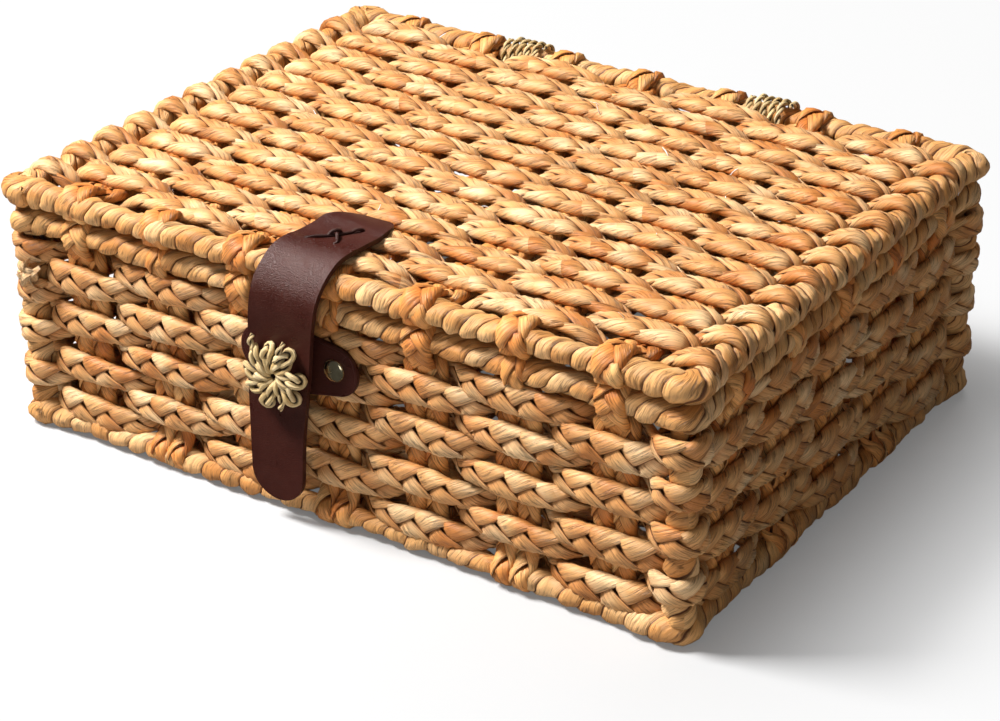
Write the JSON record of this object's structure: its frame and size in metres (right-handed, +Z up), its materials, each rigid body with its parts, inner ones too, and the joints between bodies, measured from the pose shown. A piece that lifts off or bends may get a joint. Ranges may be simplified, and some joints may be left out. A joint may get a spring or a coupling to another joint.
{
  "type": "woven lidded box",
  "caption": "Low rectangular box and lid woven of leaf braids on a wire frame, with lashed rear hinges and a leather strap that closes by magnet over the front.",
  "frame": {"origin": "middle of the underside, where the woven base rests, on the flat underside of the middle side stake", "axes": "+X along the long front wall, to the right as seen from the front; -Y out of the front wall with the strap; +Z up"},
  "size_m": [0.4006, 0.3215, 0.1476],
  "materials": {
    "leaf_braid": "dry braided water hyacinth leaf, golden tan with paler edges, satin",
    "leaf_stake": "dry braided water hyacinth leaf, slightly browner, satin",
    "leaf_wrap": "flat leaf strips wrapped on the slant, golden tan, satin",
    "strap_leather": "smooth dark red-brown cowhide with fine grain, semi-gloss",
    "dark_lace": "dark round lace, matt",
    "twisted_twine": "two-ply grass twine, olive straw, matt",
    "rivet_brass": "polished brass cap",
    "magnet_steel": "plated magnet shell",
    "frame_wire": "plain drawn steel wire"
  },
  "bodies": {
    "box": {"box_frame_wire": "frame_wire", "top_rim_wrap": "leaf_wrap", "bottom_rim_wrap": "leaf_wrap", "corner_wrap_1": "leaf_wrap", "corner_wrap_2": "leaf_wrap", "corner_wrap_3": "leaf_wrap", "corner_wrap_4": "leaf_wrap", "wall_braid_1": "leaf_braid", "wall_braid_2": "leaf_braid", "wall_braid_3": "leaf_braid", "wall_braid_4": "leaf_braid", "wall_braid_5": "leaf_braid", "wall_braid_6": "leaf_braid", "wall_braid_7": "leaf_braid", "wall_braid_8": "leaf_braid", "cross_stake_1": "leaf_stake", "cross_stake_2": "leaf_stake", "cross_stake_3": "leaf_stake", "cross_stake_4": "leaf_stake", "cross_stake_5": "leaf_stake", "cross_stake_6": "leaf_stake", "cross_stake_7": "leaf_stake", "side_stake_1": "leaf_stake", "side_stake_2": "leaf_stake", "side_stake_3": "leaf_stake", "side_stake_4": "leaf_stake", "side_stake_5": "leaf_stake", "base_braid_1": "leaf_braid", "base_braid_2": "leaf_braid", "base_braid_3": "leaf_braid", "base_braid_4": "leaf_braid", "base_braid_5": "leaf_braid", "base_braid_6": "leaf_braid", "keeper_tab": "strap_leather", "tab_rivet_left": "rivet_brass", "tab_rivet_right": "rivet_brass", "magnet_plate": "magnet_steel", "hinge_lashing_left": "twisted_twine", "hinge_lashing_right": "twisted_twine"},
    "lid": {"lid_frame_wire": "frame_wire", "lid_rim_wrap": "leaf_wrap", "lid_stake_1": "leaf_stake", "lid_stake_2": "leaf_stake", "lid_stake_3": "leaf_stake", "lid_stake_4": "leaf_stake", "lid_stake_5": "leaf_stake", "lid_stake_6": "leaf_stake", "lid_stake_7": "leaf_stake", "lid_braid_1": "leaf_braid", "lid_braid_2": "leaf_braid", "lid_braid_3": "leaf_braid", "lid_braid_4": "leaf_braid", "lid_braid_5": "leaf_braid", "lid_braid_6": "leaf_braid", "strap_anchor": "strap_leather", "strap_lace": "dark_lace"},
    "strap": {"strap_flap": "strap_leather", "flower_knot": "twisted_twine", "magnet_cap": "magnet_steel"}
  },
  "joints": [
    {"name": "lid_hinge", "type": "hinge", "parent": "box", "child": "lid", "pos_m": [0, 0.153, 0.1262], "axis": [-1, 0, 0], "range_deg": [0, 110], "deforming": ["hinge_lashing_left", "hinge_lashing_right"]},
    {"name": "strap_flex", "type": "hinge", "parent": "lid", "child": "strap", "pos_m": [-0.0145, -0.142, 0.14515], "axis": [-1, 0, 0], "range_deg": [0, 120]}
  ]
}
